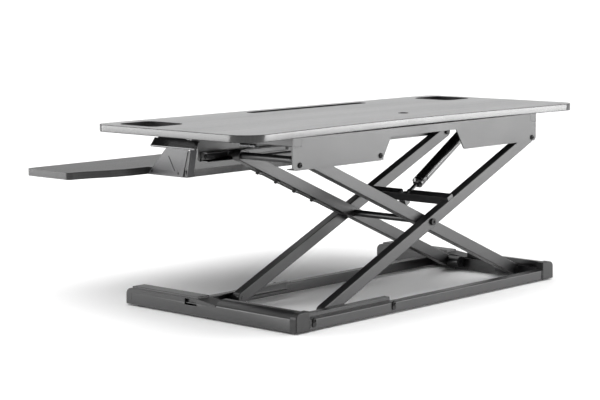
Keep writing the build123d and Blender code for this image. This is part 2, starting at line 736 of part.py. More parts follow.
cap_r = 12.0
with BuildPart() as end_caps:
    for end, name in ENDS:
        with BuildSketch(Plane.XZ.offset(-foot_y1)) as cap_sketch:
            with Locations((end * (rail_half + foot_w / 2), (foot_pad_h + foot_rim) / 2)):
                Rectangle(foot_w, foot_rim - foot_pad_h)
            top = cap_sketch.vertices().group_by(Axis.Y)[-1]
            outer_x = Axis.X if end > 0 else Axis((0, 0, 0), (-1, 0, 0))
            fillet(top.sort_by(outer_x)[-1], cap_r)
        extrude(amount=foot_cap_l)
    fillet(end_caps.edges().group_by(Axis.Y)[-1], 2.0)
save(end_caps.part, "foot_end_caps")

drum_r = 12.0
drum_l = 31.0
drum_out = inner_arm_in - 0.6
with BuildPart() as pivot_brackets:
    for side, name in SIDES:
        outer = lift_y + side * drum_out
        inner = lift_y + side * (drum_out - drum_l)
        with BuildSketch(y_plane(max(outer, inner), base_pivot_x, base_pivot_z)):
            Circle(drum_r)
            with Locations((-(rail_half + base_pivot_x) / 2, -3.5)):
                Rectangle(rail_half + base_pivot_x, 2 * drum_r - 7.0)
            Circle(pivot_r, mode=Mode.SUBTRACT)
        extrude(amount=drum_l)
save(pivot_brackets.part, "base_pivot_brackets")

with BuildPart() as pivot_bolts:
    for side, name in SIDES:
        root = lift_y + side * (drum_out - drum_l)
        face = lift_y + side * (inner_arm_out + 0.4)
        top = lift_y + side * (inner_arm_out + 0.4 + centre_head_h)
        y_rod(base_pivot_x, base_pivot_z, pivot_r, min(root, face), max(root, face))
        y_rod(base_pivot_x, base_pivot_z, centre_head_r, min(face, top), max(face, top))
save(pivot_bolts.part, "base_pivot_bolts")

with BuildPart() as base_bolts:
    for side, name in SIDES:
        for bolt_x in channel_bolts_x:
            face = lift_y + side * rail_out
            cap = face + side * bolt_head_h * 0.6
            y_rod(bolt_x, (foot_pad_h + rail_top) / 2, bolt_head_r, min(face, cap), max(face, cap))
    for end, name in ENDS:
        for screw_y in (cover_rear + 20.0, foot_rear - foot_cap_l - 20.0):
            with BuildSketch(Plane.XY.offset(foot_low + 1.0)):
                with Locations((end * (rail_half + rim_in / 2), front_edge_y + screw_y)):
                    Circle(3.5)
            extrude(amount=1.8)
save(base_bolts.part, "base_bolts")

pad_l = 34.0
pad_w = 22.0
with BuildPart() as rubber_feet:
    with BuildSketch():
        for end, name in ENDS:
            for pad_y in (foot_y0 + 34.0, (foot_y0 + foot_y1) / 2, foot_y1 - 34.0):
                with Locations((end * (rail_half + foot_w / 2), pad_y)):
                    SlotOverall(pad_l, pad_w, rotation=90)
    extrude(amount=foot_pad_h)
save(rubber_feet.part, "rubber_feet")

# ======================= Keyboard tray =======================
with BuildPart() as tray:
    with BuildSketch(Plane.XY.offset(tray_under)) as tray_sketch:
        with BuildLine():
            Polyline(
                (tray_half_w, front_edge_y + tray_wing_rear),
                (tray_half_w, front_edge_y + tray_front),
                (-tray_half_w, front_edge_y + tray_front),
                (-tray_half_w, front_edge_y + tray_wing_rear),
            )
            for end in (1, -1):
                Spline(
                    (end * tray_half_w, front_edge_y + tray_wing_rear),
                    (end * (tray_half_w + tray_mid_half) / 2, front_edge_y + tray_root_rear - 10.0),
                    (end * tray_mid_half, front_edge_y + tray_root_rear),
                    tangents=((-end, 0.02), (-end, 0)),
                )
            Polyline(
                (tray_mid_half, front_edge_y + tray_root_rear),
                (tray_mid_half, front_edge_y + tray_rear),
                (-tray_mid_half, front_edge_y + tray_rear),
                (-tray_mid_half, front_edge_y + tray_root_rear),
            )
        make_face()
        tray_corners = tray_sketch.vertices().group_by(Axis.X)
        fillet(tray_corners[0] + tray_corners[-1], tray_corner_r)
    extrude(amount=tray_t)
    for end, name in ENDS:
        with BuildSketch(Plane.YZ.offset(end * tray_mid_half)):
            for screw_y in tray_screws_y:
                with Locations((front_edge_y + screw_y, tray_under + tray_t / 2)):
                    Circle(tray_screw_r)
        extrude(amount=-end * screw_bite, mode=Mode.SUBTRACT)
save(tray.part, "keyboard_tray")

post_top = 30.0
emboss_h = 1.2
for end, name in ENDS:
    with BuildPart() as bracket:
        inner_x = end * tray_mid_half
        with BuildSketch(Plane.YZ.offset(inner_x)):
            with BuildLine():
                Polyline(
                    (front_edge_y + tray_root_rear, tray_under),
                    (front_edge_y - 3.0, tray_under),
                    (front_edge_y + post_top, desk_under),
                    (front_edge_y + 2.0, desk_under),
                    close=True,
                )
            make_face()
        extrude(amount=end * bracket_t)
        with BuildSketch(Plane.YZ.offset(inner_x)):
            for screw_y in tray_screws_y:
                with Locations((front_edge_y + screw_y, tray_under + tray_t / 2)):
                    Circle(tray_screw_r)
        extrude(amount=end * bracket_t, mode=Mode.SUBTRACT)
        with BuildSketch(Plane.YZ.offset(inner_x + end * bracket_t)):
            with BuildLine():
                Polyline(
                    (front_edge_y - 84.0, tray_under + 10.0),
                    (front_edge_y - 26.0, tray_under + 12.0),
                    (front_edge_y - 44.0, tray_under + 42.0),
                    close=True,
                )
            make_face()
        extrude(amount=end * emboss_h)
        post_x = inner_x - end * 9.0
        with BuildSketch(Plane.YZ.offset(post_x - end * 9.0)):
            with BuildLine():
                Polyline(
                    (front_edge_y + tray_rear, tray_under),
                    (front_edge_y + tray_rear + 2.5, tray_under),
                    (front_edge_y + post_top, desk_under),
                    (front_edge_y + post_top - 2.5, desk_under),
                    close=True,
                )
            make_face()
        extrude(amount=end * 18.0)
        with BuildSketch(Plane.XY.offset(desk_under)):
            with Locations((inner_x - end * 9.0, front_edge_y + 16.0)):
                Rectangle(18.0, 28.0)
        extrude(amount=-bracket_t)
    save(bracket.part, f"tray_bracket_{name}")

with BuildPart() as hanger_bar:
    with BuildSketch(Plane.YZ.offset(-(tray_mid_half - 18.0))):
        with Locations((front_edge_y + 16.0, desk_under - 8.0)):
            Rectangle(24.0, 16.0)
        with Locations((front_edge_y + 16.0, desk_under - 8.0 + bracket_t)):
            Rectangle(24.0 - 2 * bracket_t, 16.0, mode=Mode.SUBTRACT)
    extrude(amount=2 * (tray_mid_half - 18.0))
save(hanger_bar.part, "tray_hanger_bar")

with BuildPart() as tray_screws:
    for end, name in ENDS:
        for screw_y in tray_screws_y:
            with BuildSketch(Plane.YZ.offset(end * (tray_mid_half + bracket_t))):
                with Locations((front_edge_y + screw_y, tray_under + tray_t / 2)):
                    Circle(tray_screw_r)
            extrude(amount=-end * (bracket_t + screw_bite))
save(tray_screws.part, "tray_screws")

# ======================= Release levers =======================
housing_x0 = lever_pivot_x - 17.0
housing_w = 24.0
housing_h = 15.0
housing_y0 = front_edge_y + lever_front + 6.0
housing_l = 85.0
ear_t = 3.0
with BuildPart() as housings:
    for end, name in ENDS:
        with BuildSketch(Plane.XY.offset(desk_under)):
            with Locations((end * (housing_x0 + housing_w / 2), housing_y0 + housing_l / 2)):
                Rectangle(housing_w, housing_l)
        extrude(amount=-2.5)
        for ear_y in (housing_y0 + ear_t, housing_y0 + housing_l):
            housing_mid = (end * (housing_x0 + housing_w / 2), desk_under - housing_h / 2)
            with BuildSketch(y_plane(ear_y, *housing_mid)):
                Rectangle(housing_w, housing_h)
                with Locations((end * lever_pivot_x - housing_mid[0], lever_pivot_z - housing_mid[1])):
                    Circle(lever_pin_r, mode=Mode.SUBTRACT)
            extrude(amount=ear_t)
save(housings.part, "lever_housings")

with BuildPart() as lever_pins:
    for end, name in ENDS:
        y_rod(end * lever_pivot_x, lever_pivot_z, lever_pin_r, housing_y0, housing_y0 + housing_l)
save(lever_pins.part, "lever_pins")

hub_r = 5.0
hub_y0 = housing_y0 + ear_t + 0.5
hub_l = housing_l - 2 * ear_t - 1.0
lip_r = 2.6
blade_l = math.hypot(lever_reach, lever_fall)
blade_tilt = math.degrees(math.atan2(lever_fall, lever_reach))
blade_neck = 12.0           # the blade's overhang past the hub starts this far down it


def blade_mid_x(near):
    """Middle of a blade that starts this far from the hinge, outwards."""
    return (blade_l + near) / 2 * lever_reach / blade_l


def blade_mid_z(near):
    """Middle of a blade that starts this far from the hinge, upwards."""
    return -(blade_l + near) / 2 * lever_fall / blade_l


for end, name in ENDS:
    with BuildPart() as lever:
        y_rod(end * lever_pivot_x, lever_pivot_z, hub_r, hub_y0, hub_y0 + hub_l)
        lever_y0 = front_edge_y + lever_front
        for near, y0, y1 in ((0.0, hub_y0, hub_y0 + hub_l), (blade_neck, lever_y0, lever_y0 + lever_l)):
            with BuildSketch(y_plane(y1, end * lever_pivot_x, lever_pivot_z)):
                with Locations(Location((end * blade_mid_x(near), blade_mid_z(near), 0), (0, 0, -end * blade_tilt))):
                    Rectangle(blade_l - near, lever_t)
            extrude(amount=y1 - y0)
        y_rod(end * (lever_pivot_x + lever_reach), lever_pivot_z - lever_fall, lip_r, lever_y0, lever_y0 + lever_l)
        with BuildSketch(y_plane(hub_y0 + hub_l, end * lever_pivot_x, lever_pivot_z)):
            Circle(lever_pin_r + pin_clear)
        extrude(amount=hub_l, mode=Mode.SUBTRACT)
    save(lever.part, f"release_lever_{name}")

spring_wire = 0.8
return_spring_r = 3.6
return_spring_l = 48.0
return_spring_z = desk_under - crossbar_h - return_spring_r - 1.0
with BuildPart() as lever_springs:
    for end, name in ENDS:
        for turn in range(3):
            coil_y = housing_y0 + housing_l + 1.0 + turn * 1.7
            with BuildSketch(Plane(origin=(end * lever_pivot_x, coil_y, lever_pivot_z), z_dir=(0, 1, 0))):
                Circle(4.2)
                Circle(4.2 - spring_wire, mode=Mode.SUBTRACT)
            extrude(amount=1.7)
    with BuildSketch(y_plane(lift_y + return_spring_l / 2, crossbar_right_x, return_spring_z)):
        Circle(return_spring_r)
        Circle(return_spring_r - spring_wire, mode=Mode.SUBTRACT)
    extrude(amount=return_spring_l)
save(lever_springs.part, "lever_springs")

# ======================= Release cable =======================
def cable(points, name):
    """Cable along hand-set points, straight runs joined by tangent arcs; prints its radii."""
    radii = []
    for before, corner, after in zip(points, points[1:], points[2:]):
        run_a = Vector(*corner) - Vector(*before)
        run_b = Vector(*after) - Vector(*corner)
        half_turn = math.radians(run_a.get_angle(run_b) / 2)
        radii.append(0.45 * min(run_a.length, run_b.length) / math.tan(half_turn))
    with BuildLine() as route:
        FilletPolyline(*points, radius=radii)
    start = Plane(origin=points[0], z_dir=Vector(*points[1]) - Vector(*points[0]))
    with BuildPart() as run:
        with BuildSketch(start):
            Circle(cable_r)
        sweep(path=route.wires()[0])
    length = route.wires()[0].length
    expected = math.pi * cable_r**2 * length
    print(name, "length", round(length, 1), "radii", [round(r) for r in radii])
    print(name, "volume", round(run.part.volume), "expected", round(expected))
    save(run.part, name)


def on_inner_arm(s, h, d):
    """Point beside an inner arm: s along it from the centre pivot, h above its centre line."""
    return (
        centre_x + s * math.cos(theta) - h * math.sin(theta),
        lift_y + d,
        centre_z + s * math.sin(theta) + h * math.cos(theta),
    )


def on_outer_arm(s, h, d):
    """Point beside an outer arm: s up it from the centre pivot, h above its centre line."""
    return (
        centre_x - s * math.cos(theta) + h * math.sin(theta),
        lift_y + d,
        centre_z + s * math.sin(theta) + h * math.cos(theta),
    )


cable_h = -(arm_h / 2 + cable_r + 1.6)
front_mid = -(inner_arm_in + arm_w / 2)
cable(
    [
        on_inner_arm(330.0, cable_h, front_mid),
        on_inner_arm(272.0, cable_h + 1.0, front_mid + 1.0),
        on_inner_arm(214.0, cable_h, front_mid - 0.5),
        on_inner_arm(156.0, cable_h + 1.0, front_mid + 0.5),
        on_inner_arm(98.0, cable_h, front_mid + 2.0),
        on_inner_arm(40.0, cable_h - 1.0, front_mid + 6.0),
    ],
    "cable_arm_run",
)

lever_y = front_edge_y + lever_front + lever_l / 2
panel_front_y = lift_y - panel_out
under_panel_z = top_pivot_z - panel_drop_right
cable(
    [
        (housing_x0 - 1.0, lever_y, desk_under - 8.0),
        (335.0, lever_y + 8.0, desk_under - 15.0),
        (301.0, panel_front_y - 16.0, desk_under - 36.0),
        (276.0, panel_front_y - 5.0, under_panel_z - 1.0),
        (256.0, panel_front_y + 10.0, under_panel_z - 10.0),
        (236.0, panel_front_y + 24.0, under_panel_z - 2.0),
    ],
    "cable_lever_run",
)

beam_mid = (beam_s0 + beam_s1) / 2
past_beam = beam_s1 + cable_r + 1.5
cable(
    [
        on_outer_arm(past_beam, 6.5, -outer_arm_in + 2.0),
        on_outer_arm(past_beam, 5.5, -78.0),
        on_outer_arm(past_beam - 0.5, 2.5, -57.0),
        on_outer_arm(past_beam - 2.5, -2.5, -37.0),
        on_outer_arm(beam_mid, beam_h0 - head_len / 2, head_d - head_w / 2 - 0.4),
    ],
    "cable_head_run",
)

clip_w = 8.0
with BuildPart() as clips:
    for s in (300.0, 243.0, 185.0, 127.0):
        with BuildSketch(arm_plane(front_mid + 5.0, centre_x, centre_z, inner_dir)):
            with Locations((s, -(arm_h / 2 + 0.5))):
                Rectangle(clip_w, 1.0)
        extrude(amount=10.0)
        for ear in (-1, 1):
            with BuildSketch(arm_plane(front_mid + ear * 4.2 + 0.8, centre_x, centre_z, inner_dir)):
                with Locations((s, -(arm_h / 2 + 3.0))):
                    Rectangle(clip_w, 6.0)
            extrude(amount=1.6)
save(clips.part, "cable_clips")
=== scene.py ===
"""Finishes, detailed pieces, stage and camera for a standing desk converter."""

import json
import math

import bmesh
import bpy
from bpy.props import FloatProperty, FloatVectorProperty, PointerProperty
from mathutils import Matrix, Quaternion, Vector


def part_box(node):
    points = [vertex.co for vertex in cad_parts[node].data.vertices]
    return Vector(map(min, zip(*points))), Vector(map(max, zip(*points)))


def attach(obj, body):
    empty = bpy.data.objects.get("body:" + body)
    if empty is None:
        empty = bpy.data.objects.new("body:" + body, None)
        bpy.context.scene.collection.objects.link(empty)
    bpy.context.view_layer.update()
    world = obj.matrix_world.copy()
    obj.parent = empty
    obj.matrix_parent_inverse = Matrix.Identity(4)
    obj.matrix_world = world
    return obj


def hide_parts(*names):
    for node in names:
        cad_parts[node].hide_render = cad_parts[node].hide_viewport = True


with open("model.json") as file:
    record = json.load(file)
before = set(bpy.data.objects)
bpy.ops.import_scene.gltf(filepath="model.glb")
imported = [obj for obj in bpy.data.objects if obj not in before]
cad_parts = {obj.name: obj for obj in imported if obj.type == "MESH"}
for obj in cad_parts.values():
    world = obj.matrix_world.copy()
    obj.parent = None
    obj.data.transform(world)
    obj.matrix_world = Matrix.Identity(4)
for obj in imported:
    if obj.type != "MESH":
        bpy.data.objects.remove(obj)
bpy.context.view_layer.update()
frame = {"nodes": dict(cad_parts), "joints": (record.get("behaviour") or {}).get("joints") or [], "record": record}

bl_info = {
    "name": "Desk Converter Looks",
    "version": (1, 0, 0),
    "blender": (4, 5, 0),
    "location": "3D View > Sidebar > Desk Converter",
    "description": "Dresses the packed desk converter with finishes and detailed pieces",
    "category": "Object",
}

MM = 0.001


# ---------------------------------------------------------------- sizes and colours

def length(name, description, default):
    """A size in metres, for the sidebar."""
    return FloatProperty(name=name, description=description, default=default, min=0.0, subtype="DISTANCE")


def colour(name, description, *default):
    """A colour, for the sidebar."""
    return FloatVectorProperty(
        name=name, description=description, default=default, size=3, min=0.0, max=1.0, subtype="COLOR"
    )


class ConverterSizes(bpy.types.PropertyGroup):
    """Sizes of the pieces that are modelled here."""

    board_round: length("Board edge", "Rounding of a board's edges", 1.2 * MM)
    steel_round: length("Steel edge", "Rounding of a tube's or plate's edges", 0.7 * MM)
    plastic_round: length("Plastic edge", "Rounding of a moulding's edges", 1.0 * MM)
    socket_radius: length("Socket", "Radius of a bolt's hex socket", 2.3 * MM)
    socket_depth: length("Socket depth", "Depth of a bolt's hex socket", 1.6 * MM)
    spring_wire: length("Spring wire", "Thickness of a lever spring's wire", 0.9 * MM)


class ConverterColours(bpy.types.PropertyGroup):
    """Base colours of the finishes."""

    board_dark: colour("Board, dark grain", "Darker grain of the laminate", 0.13, 0.13, 0.131)
    board_light: colour("Board, light grain", "Lighter grain of the laminate", 0.25, 0.25, 0.252)
    band: colour("Edge band", "Band on the boards' edges", 0.02, 0.02, 0.0202)
    coat: colour("Powder coat", "Steel frame's coat", 0.009, 0.009, 0.0095)
    plastic: colour("Moulded plastic", "Clips, caps and liners", 0.015, 0.015, 0.015)
    rubber: colour("Rubber", "Feet", 0.02, 0.02, 0.02)
    steel: colour("Bright steel", "Rod, pins and springs", 0.55, 0.55, 0.56)
    floor: colour("Floor", "Stage floor", 0.96, 0.96, 0.96)


def sizes():
    return bpy.context.scene.converter_sizes


def colours():
    return bpy.context.scene.converter_colours


# ---------------------------------------------------------------- shader maths

class Value:
    """A shader socket that Python's operators work on."""

    def __init__(self, shader, socket):
        self.shader = shader
        self.socket = socket

    def _math(self, operation, *values):
        return self.shader.node("ShaderNodeMath", {"operation": operation}, *values)

    def __add__(self, other):
        return self._math("ADD", self, other)

    __radd__ = __add__

    def __sub__(self, other):
        return self._math("SUBTRACT", self, other)

    def __rsub__(self, other):
        return self._math("SUBTRACT", other, self)

    def __mul__(self, other):
        return self._math("MULTIPLY", self, other)

    __rmul__ = __mul__

    def __truediv__(self, other):
        return self._math("DIVIDE", self, other)

    def __rtruediv__(self, other):
        return self._math("DIVIDE", other, self)

    def __pow__(self, other):
        return self._math("POWER", self, other)

    def clamp(self):
        return self.shader.node("ShaderNodeClamp", None, self)


class Nodes:
    """A node tree, built node by node."""

    def __init__(self, tree):
        self.tree = tree

    def node(self, kind, settings, *values, out=0):
        """Adds a node. Its settings are made first, then its inputs, in order; None leaves one alone."""
        made = self.tree.nodes.new(kind)
        for key, value in (settings or {}).items():
            setattr(made, key, value)
        for socket, value in zip(made.inputs, values):
            self.put(socket, value)
        return Value(self, made.outputs[out])

    def put(self, socket, value):
        """Links a value to a socket, or sets a plain number or colour on it."""
        if isinstance(value, Value):
            self.tree.links.new(value.socket, socket)
        elif value is not None:
            socket.default_value = value

    def place(self, *scale):
        """Object coordinates in metres, scaled along each axis."""
        texture = self.node("ShaderNodeTexCoord", None, out=3)
        return self.node("ShaderNodeMapping", None, texture, None, None, scale)

    def noise(self, place, scale, detail=3.0, rough=0.5):
        return self.node("ShaderNodeTexNoise", None, place, None, scale, detail, rough)

    def cells(self, place, scale):
        return self.node("ShaderNodeTexVoronoi", None, place, None, scale)

    def span(self, value, low, high, new_low=0.0, new_high=1.0):
        """Maps low..high on to new_low..new_high, clamped."""
        return self.node("ShaderNodeMapRange", None, value, low, high, new_low, new_high)

    def blend(self, factor, first, second):
        """Mixes two colours."""
        made = self.tree.nodes.new("ShaderNodeMix")
        made.data_type = "RGBA"
        for index, value in ((0, factor), (6, first), (7, second)):
            if not isinstance(value, (Value, float, int)):
                value = (*value, 1.0)
            self.put(made.inputs[index], value)
        return Value(self, made.outputs[2])


class Shader(Nodes):
    """One material's nodes, which feed its Principled BSDF."""

    def __init__(self, name, **values):
        self.material = bpy.data.materials.new(name)
        self.material.use_nodes = True
        super().__init__(self.material.node_tree)
        self.surface = self.tree.nodes["Principled BSDF"]
        for socket, value in values.items():
            self.surface.inputs[socket.replace("_", " ")].default_value = value

    def feed(self, name, value):
        """Feeds one socket of the surface."""
        self.put(self.surface.inputs[name], value)

    def relief(self, height, distance, strength=1.0):
        """Bumps the surface by a height."""
        made = self.tree.nodes.new("ShaderNodeBump")
        made.inputs["Distance"].default_value = distance
        made.inputs["Strength"].default_value = strength
        self.put(made.inputs["Height"], height)
        self.tree.links.new(made.outputs["Normal"], self.surface.inputs["Normal"])


# ---------------------------------------------------------------- finishes

def shade(colour_value, factor):
    """A colour made lighter or darker."""
    return tuple(min(1.0, part * factor) for part in colour_value)


def band_look(shader):
    """Dark glossy edge band with faint printed streaks: its colour and its roughness."""
    streaks = shader.noise(shader.place(4.0, 4.0, 420.0), 1.0, 5.0, 0.6)
    ticks = shader.noise(shader.place(260.0, 260.0, 12.0), 1.0, 3.0, 0.6)
    figure = streaks * 0.6 + ticks * 0.4
    tone = shader.blend(figure.clamp(), shade(colours().band, 0.4), shade(colours().band, 2.2))
    return tone, 0.13 + 0.14 * figure, figure


def laminate(name, tone_factor, sheen):
    """Grey wood-grain laminate on the upper face, edge band on the sides, dark paper under."""
    shader = Shader(name, Specular_IOR_Level=sheen)
    streaks = shader.noise(shader.place(3.0, 90.0, 90.0), 1.0, 6.0, 0.65)
    figure = shader.noise(shader.place(1.2, 14.0, 14.0), 1.0, 3.0, 0.5)
    pores = shader.span(shader.noise(shader.place(60.0, 1400.0, 1400.0), 1.0, 2.0, 0.6), 0.56, 0.70)
    grain = (streaks * 0.6 + figure * 0.4 - 0.28) * 2.2
    dark, light = shade(colours().board_dark, tone_factor), shade(colours().board_light, tone_factor)
    tone = shader.blend(grain.clamp(), dark, light)
    tone = shader.blend(pores * 0.4, tone, shade(dark, 0.6))
    facing = shader.node("ShaderNodeTexCoord", None, out=1)
    upright = shader.node("ShaderNodeSeparateXYZ", None, facing, out=2)
    flat = shader.span(upright * upright, 0.3, 0.7)
    not_under = shader.span(upright, -0.7, -0.3)
    tone = shader.blend(not_under, shade(colours().band, 0.3), tone)
    band_tone, band_rough, band_figure = band_look(shader)
    shader.feed("Base Color", shader.blend(flat, band_tone, tone))
    flat_rough = 0.9 - not_under * (0.58 - 0.14 * streaks)
    shader.feed("Roughness", band_rough + flat * (flat_rough - band_rough))
    shader.relief(flat * (1.0 - pores * 0.7 + streaks * 0.25) + (1.0 - flat) * band_figure, 0.10 * MM)
    return shader.material


def edge_band():
    """The desktop's edge band."""
    shader = Shader("edge_band")
    tone, rough, figure = band_look(shader)
    shader.feed("Base Color", tone)
    shader.feed("Roughness", rough)
    shader.relief(figure, 0.05 * MM)
    return shader.material


def powder_coat(name, tone_factor=1.0):
    """Satin powder coat: fine orange peel, a little uneven in gloss."""
    shader = Shader(name)
    peel = shader.noise(shader.place(1.0, 1.0, 1.0), 1100.0, 3.0, 0.6)
    cloud = shader.noise(shader.place(1.0, 1.0, 1.0), 14.0, 4.0, 0.55)
    coat = shade(colours().coat, tone_factor)
    tone = shader.blend(cloud.clamp(), shade(coat, 0.8), shade(coat, 1.5))
    shader.feed("Base Color", tone)
    shader.feed("Roughness", 0.27 + 0.12 * cloud + 0.05 * peel)
    shader.relief(peel, 0.10 * MM, 0.6)
    return shader.material


def gloss_lacquer():
    """Smooth black lacquer with a clear coat and faint polishing marks."""
    shader = Shader("gloss_lacquer", Coat_Weight=0.8, Coat_Roughness=0.06)
    cloud = shader.noise(shader.place(1.0, 1.0, 1.0), 60.0, 3.0, 0.5)
    tone = shader.blend(cloud.clamp(), shade(colours().coat, 0.4), shade(colours().coat, 0.8))
    shader.feed("Base Color", tone)
    shader.feed("Roughness", 0.2 + 0.1 * cloud)
    shader.relief(cloud, 0.05 * MM, 0.4)
    return shader.material


def black_oxide():
    """Oiled black oxide on bolts, a little paler where it is worn."""
    shader = Shader("black_oxide", Specular_IOR_Level=0.2)
    grain = shader.noise(shader.place(1.0, 1.0, 1.0), 900.0, 3.0, 0.6)
    tone = shader.blend(grain.clamp(), (0.004, 0.004, 0.004), (0.014, 0.014, 0.014))
    shader.feed("Base Color", tone)
    shader.feed("Roughness", 0.34 + 0.2 * grain)
    shader.relief(grain, 0.03 * MM, 0.5)
    return shader.material


def bright_steel(name, tone_factor):
    """Drawn bright steel with fine rings and smears of oil."""
    shader = Shader(name, Metallic=1.0)
    lines = shader.noise(shader.place(1.0, 1.0, 1.0), 1600.0, 2.0, 0.5)
    oil = shader.noise(shader.place(1.0, 1.0, 1.0), 45.0, 3.0, 0.5)
    steel = shade(colours().steel, tone_factor)
    tone = shader.blend(oil.clamp(), shade(steel, 0.8), shade(steel, 1.2))
    shader.feed("Base Color", tone)
    shader.feed("Roughness", 0.18 + 0.12 * oil + 0.08 * lines)
    shader.relief(lines, 0.02 * MM, 0.4)
    return shader.material


def moulded(name, base, rough, grain_scale=1500.0, sheen=0.5):
    """Moulded plastic with a spark-eroded grain."""
    shader = Shader(name, Specular_IOR_Level=sheen)
    grain = shader.cells(shader.place(1.0, 1.0, 1.0), grain_scale)
    cloud = shader.noise(shader.place(1.0, 1.0, 1.0), 30.0, 3.0, 0.5)
    tone = shader.blend(cloud.clamp(), shade(base, 0.8), shade(base, 1.3))
    shader.feed("Base Color", tone)
    shader.feed("Roughness", rough + 0.12 * cloud)
    shader.relief(grain, 0.06 * MM, 0.6)
    return shader.material


def rubber():
    """Matte rubber with a fine tread grain and a dusty bloom."""
    shader = Shader("rubber")
    bloom = shader.noise(shader.place(1.0, 1.0, 1.0), 80.0, 4.0, 0.6)
    grain = shader.noise(shader.place(1.0, 1.0, 1.0), 1800.0, 2.0, 0.5)
    tone = shader.blend(bloom.clamp(), colours().rubber, shade(colours().rubber, 2.4))
    shader.feed("Base Color", tone)
    shader.feed("Roughness", 0.75 + 0.15 * bloom)
    shader.relief(grain, 0.08 * MM, 0.8)
    return shader.material


def floor_paint():
    """Even pale floor with a very faint mottle."""
    shader = Shader("floor_paint", Roughness=0.6)
    mottle = shader.noise(shader.place(1.0, 1.0, 1.0), 3.0, 3.0, 0.5)
    tone = shader.blend(mottle.clamp(), shade(colours().floor, 0.985), colours().floor)
    shader.feed("Base Color", tone)
    return shader.material


# ---------------------------------------------------------------- helpers for pieces

def finish_piece(obj, body, slot, material, *replaced):
    """Gives a new piece its finish, its body and the CAD nodes that it stands for."""
    obj.data.materials.append(material)
    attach(obj, body)
    if replaced:
        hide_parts(*replaced)
    return obj


def to_object(bm, name, smooth=35.0):
    """Turns a bmesh into an object at the origin, with faces out and round stretches smooth."""
    bmesh.ops.remove_doubles(bm, verts=bm.verts, dist=0.001 * MM)
    bmesh.ops.recalc_face_normals(bm, faces=bm.faces)
    for face in bm.faces:
        face.smooth = True
    limit = math.radians(smooth)
    for edge in bm.edges:
        edge.smooth = len(edge.link_faces) != 2 or edge.calc_face_angle(0.0) < limit
    mesh = bpy.data.meshes.new(name)
    bm.to_mesh(mesh)
    bm.free()
    obj = bpy.data.objects.new(name, mesh)
    bpy.context.scene.collection.objects.link(obj)
    return obj


def lathe(bm, profile, centre, axis, steps=32):
    """Spins a profile of (radius, distance along axis) points round an axis."""
    axis = Vector(axis).normalized()
    side = axis.orthogonal().normalized()
    points = [bm.verts.new(Vector(centre) + side * radius + axis * along) for radius, along in profile]
    edges = [bm.edges.new(pair) for pair in zip(points, points[1:])]
    bmesh.ops.spin(
        bm, geom=points + edges, cent=centre, axis=axis, angle=math.tau, steps=steps, use_merge=True
    )


def arc(centre_radius, centre_along, radius, start, end, steps=5):
    """Points of a rounded corner in a lathe's profile, from one angle to another, in degrees."""
    turn = [math.radians(start + (end - start) * step / steps) for step in range(steps + 1)]
    return [(centre_radius + radius * math.cos(a), centre_along + radius * math.sin(a)) for a in turn]


def joint(name):
    """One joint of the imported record."""
    return next(j for j in frame["joints"] if j["name"] == name)


def node_materials(names, material):
    """Gives CAD nodes a finish."""
    for name in names:
        node = frame["nodes"][name]
        for place in node.material_slots:
            place.material = material


def soften(names, width, segments=2):
    """Rounds CAD nodes' sharp edges with modifiers, and evens out their shading."""
    for name in names:
        node = frame["nodes"][name]
        weld = node.modifiers.new("weld", "WELD")
        weld.merge_threshold = 0.002 * MM
        bevel = node.modifiers.new("bevel", "BEVEL")
        bevel.width = width
        bevel.segments = segments
        bevel.limit_method = "ANGLE"
        bevel.angle_limit = math.radians(40.0)
        bevel.use_clamp_overlap = True
        bevel.miter_outer = "MITER_ARC"
        node.modifiers.new("normals", "WEIGHTED_NORMAL")


def reach(node, origin, axis):
    """A round CAD node's extent: (lowest, highest) along an axis, and its (smallest, greatest) radius."""
    origin, axis = Vector(origin), Vector(axis).normalized()
    along, radius = [], []
    for vertex in frame["nodes"][node].data.vertices:
        offset = vertex.co - origin
        along.append(offset.dot(axis))
        radius.append((offset - axis * along[-1]).length)
    return (min(along), max(along)), (min(radius), max(radius))


def coil(bm, start, axis, radius, wire, pitch, turns, steps=18):
    """Winds a round wire into a helix that starts at a point on its axis."""
    axis = Vector(axis).normalized()
    side = axis.orthogonal().normalized()
    place = Matrix.Translation(Vector(start) + side * radius)
    turn = axis.cross(side).to_track_quat("Z", "Y").to_matrix().to_4x4()
    ring = bmesh.ops.create_circle(bm, cap_ends=False, segments=8, radius=wire / 2, matrix=place @ turn)
    edges = list({edge for vertex in ring["verts"] for edge in vertex.link_edges})
    count = int(turns * steps)
    bmesh.ops.spin(
        bm, geom=ring["verts"] + edges, cent=start, axis=axis, dvec=axis * (pitch / steps),
        angle=math.tau * turns, steps=count, use_merge=False
    )
    bmesh.ops.holes_fill(bm, edges=[edge for edge in bm.edges if edge.is_boundary], sides=8)


def bead(bm, start, end, size):
    """A weld bead: overlapping drops along a line."""
    start, end = Vector(start), Vector(end)
    count = max(2, int((end - start).length / (size * 0.45)))
    for step in range(count + 1):
        point = start.lerp(end, step / count)
        swell = 1.0 + 0.12 * math.sin(step * 2.3)
        bmesh.ops.create_icosphere(
            bm, subdivisions=2, radius=size / 2 * swell, matrix=Matrix.Translation(point)
        )


def rounded_plate(bm, centre, width, depth, radius, segments=6):
    """A flat rounded rectangle, facing up."""
    made = bmesh.ops.create_grid(bm, x_segments=1, y_segments=1, size=0.5)
    bmesh.ops.scale(bm, vec=(width, depth, 1.0), verts=made["verts"])
    bmesh.ops.translate(bm, vec=centre, verts=made["verts"])
    bmesh.ops.bevel(
        bm, geom=made["verts"], offset=radius, offset_type="OFFSET", affect="VERTICES",
        segments=segments, profile=0.5, material=-1
    )
    return list(bm.faces)


# ---------------------------------------------------------------- operators

